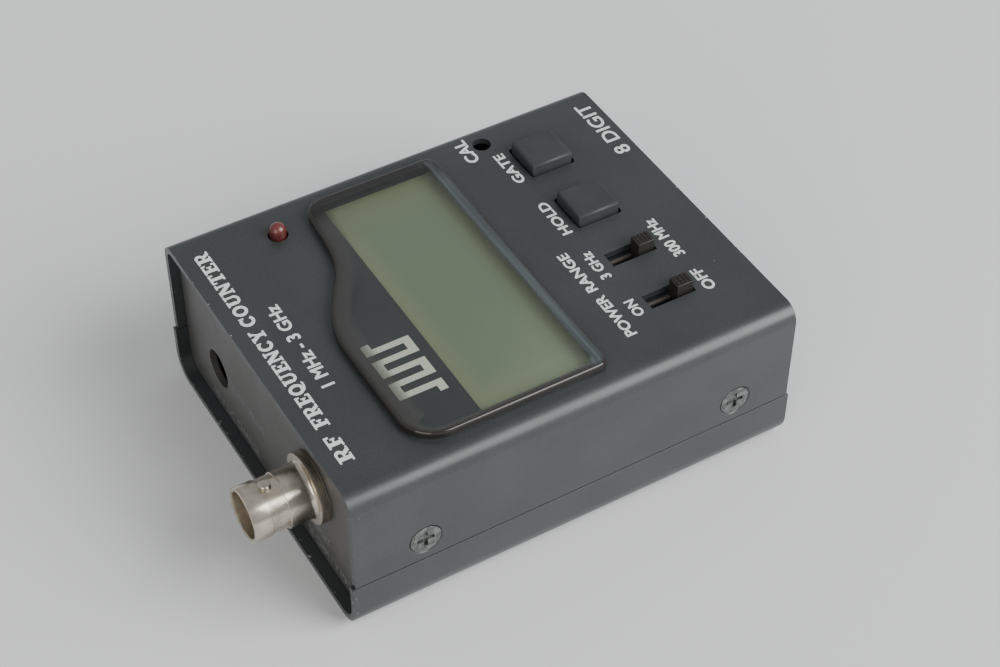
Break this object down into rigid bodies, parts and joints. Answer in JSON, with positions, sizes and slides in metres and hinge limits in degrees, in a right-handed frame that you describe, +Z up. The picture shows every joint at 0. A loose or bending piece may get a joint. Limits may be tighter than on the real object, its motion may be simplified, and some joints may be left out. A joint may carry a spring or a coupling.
{
  "type": "frequency counter",
  "caption": "Pocket frequency counter in a black sheet-metal case, with a raised clear display lens, push buttons, slide switches, a bayonet coaxial input and a charger socket.",
  "frame": {"origin": "middle of the case's flat underside", "axes": "+Z up out of the face, +Y along the case towards the coaxial input, +X to the reader's right with the input end away from the reader"},
  "size_m": [0.069, 0.0954, 0.0337],
  "materials": {
    "painted_case": "satin black paint, worn to bright metal at some edges",
    "blackened_screws": "blackened steel, worn on the heads",
    "plated_steel": "dull zinc plate",
    "nickel_plate": "bright nickel plate, slightly warm",
    "gold_plate": "gold plate",
    "brass_rotor": "turned brass",
    "clear_lens": "polished clear acrylic",
    "mask_black": "gloss black print behind the lens",
    "display_glass": "grey-green liquid crystal display, unlit",
    "black_plastic": "satin black moulding",
    "chip_black": "matt black epoxy",
    "contact_rubber": "matt grey elastomer",
    "gasket_rubber": "matt black rubber",
    "red_light": "tinted clear red epoxy",
    "white_plastic": "matt white moulding",
    "circuit_board": "green solder mask on glass fibre",
    "cell_sleeve": "shrink sleeve"
  },
  "bodies": {
    "case": {"top_cover": "painted_case", "base_shell": "painted_case", "connector_end_panel": "painted_case", "plain_end_panel": "painted_case", "side_screw_1": "blackened_screws", "side_screw_2": "blackened_screws", "side_screw_3": "blackened_screws", "side_screw_4": "blackened_screws", "base_screw_1": "blackened_screws", "base_screw_2": "blackened_screws", "base_screw_3": "blackened_screws", "base_screw_4": "blackened_screws", "board_screw_1": "blackened_screws", "board_screw_2": "blackened_screws", "board_screw_3": "blackened_screws", "board_screw_4": "blackened_screws", "board_standoff_1": "plated_steel", "board_standoff_2": "plated_steel", "board_standoff_3": "plated_steel", "board_standoff_4": "plated_steel", "bnc_washer": "plated_steel", "input_lead": "plated_steel", "reference_crystal": "plated_steel", "bnc_shell": "nickel_plate", "bnc_nut": "nickel_plate", "dc_jack_pin": "nickel_plate", "bnc_contact": "gold_plate", "display_lens": "clear_lens", "display_mask": "mask_black", "lcd_glass": "display_glass", "lcd_frame": "black_plastic", "gate_switch_body": "black_plastic", "hold_switch_body": "black_plastic", "power_switch_body": "black_plastic", "range_switch_body": "black_plastic", "dc_jack_body": "black_plastic", "battery_tray": "black_plastic", "counter_chip": "chip_black", "prescaler_chip": "chip_black", "lcd_strip_1": "contact_rubber", "lcd_strip_2": "contact_rubber", "bnc_gasket": "gasket_rubber", "power_led": "red_light", "bnc_insulator": "white_plastic", "cal_trimmer_body": "white_plastic", "main_board": "circuit_board", "charger_board": "circuit_board", "battery_cell_1": "cell_sleeve", "battery_cell_2": "cell_sleeve", "battery_cell_3": "cell_sleeve", "battery_cell_4": "cell_sleeve"},
    "gate_key": {"gate_button": "black_plastic", "gate_plunger": "white_plastic"},
    "hold_key": {"hold_button": "black_plastic", "hold_plunger": "white_plastic"},
    "power_knob": {"power_switch_knob": "black_plastic"},
    "range_knob": {"range_switch_knob": "black_plastic"},
    "cal_rotor": {"cal_trimmer_rotor": "brass_rotor"}
  },
  "joints": [
    {"name": "gate_press", "type": "slide", "parent": "case", "child": "gate_key", "axis": [0, 0, -1], "range_m": [0, 0.0007], "stiffness_N_per_m": 800},
    {"name": "hold_press", "type": "slide", "parent": "case", "child": "hold_key", "axis": [0, 0, -1], "range_m": [0, 0.0007], "stiffness_N_per_m": 800},
    {"name": "power_slide", "type": "slide", "parent": "case", "child": "power_knob", "axis": [0, 1, 0], "range_m": [0, 0.0049]},
    {"name": "range_slide", "type": "slide", "parent": "case", "child": "range_knob", "axis": [0, 1, 0], "range_m": [0, 0.0049]},
    {"name": "cal_turn", "type": "hinge", "parent": "case", "child": "cal_rotor", "pos_m": [0.0289, -0.018, 0.0262], "axis": [0, 0, 1], "range_deg": [-90, 90]}
  ]
}
